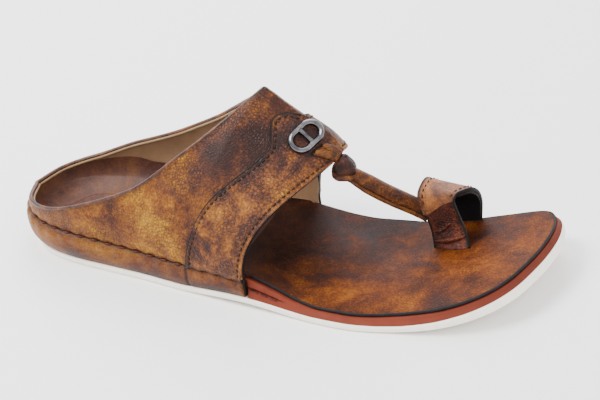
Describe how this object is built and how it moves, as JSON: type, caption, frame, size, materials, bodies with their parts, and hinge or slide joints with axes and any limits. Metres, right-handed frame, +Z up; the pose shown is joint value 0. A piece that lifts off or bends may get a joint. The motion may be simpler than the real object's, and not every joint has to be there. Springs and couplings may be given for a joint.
{
  "type": "toe ring sandal",
  "caption": "Men's leather slip-on sandal for the right foot, with a closed heel cup and instep strap in one wall, and a narrow knotted strap to a leather big toe ring.",
  "frame": {"origin": "middle of the flat spot under the heel, on the floor plane", "axes": "+X to the toe, +Y to the inner (big toe) side, +Z up"},
  "size_m": [0.2804, 0.0973, 0.0904],
  "materials": {
    "outsole_rubber": "matte, lightly soiled",
    "midsole_foam": "matte foam",
    "footbed_leather": "smooth, marbled, satin",
    "rand_leather": "burnished, fine grain",
    "upper_leather": "burnished, fine grain",
    "overlay_leather": "burnished, fine grain, painted edges",
    "toe_strap_leather": "burnished, satin",
    "knot_leather": "dark, satin",
    "loop_leather": "burnished, satin",
    "toe_ring_leather": "burnished, painted edges",
    "ornament_gunmetal": "dark gunmetal, polished bevels"
  },
  "bodies": {
    "root": {"outsole": "outsole_rubber", "midsole": "midsole_foam", "footbed": "footbed_leather", "rand": "rand_leather", "upper": "upper_leather", "vamp_overlay": "overlay_leather", "toe_strap": "toe_strap_leather", "knot": "knot_leather", "strap_loop": "loop_leather", "toe_ring": "toe_ring_leather", "ornament": "ornament_gunmetal"}
  },
  "joints": []
}
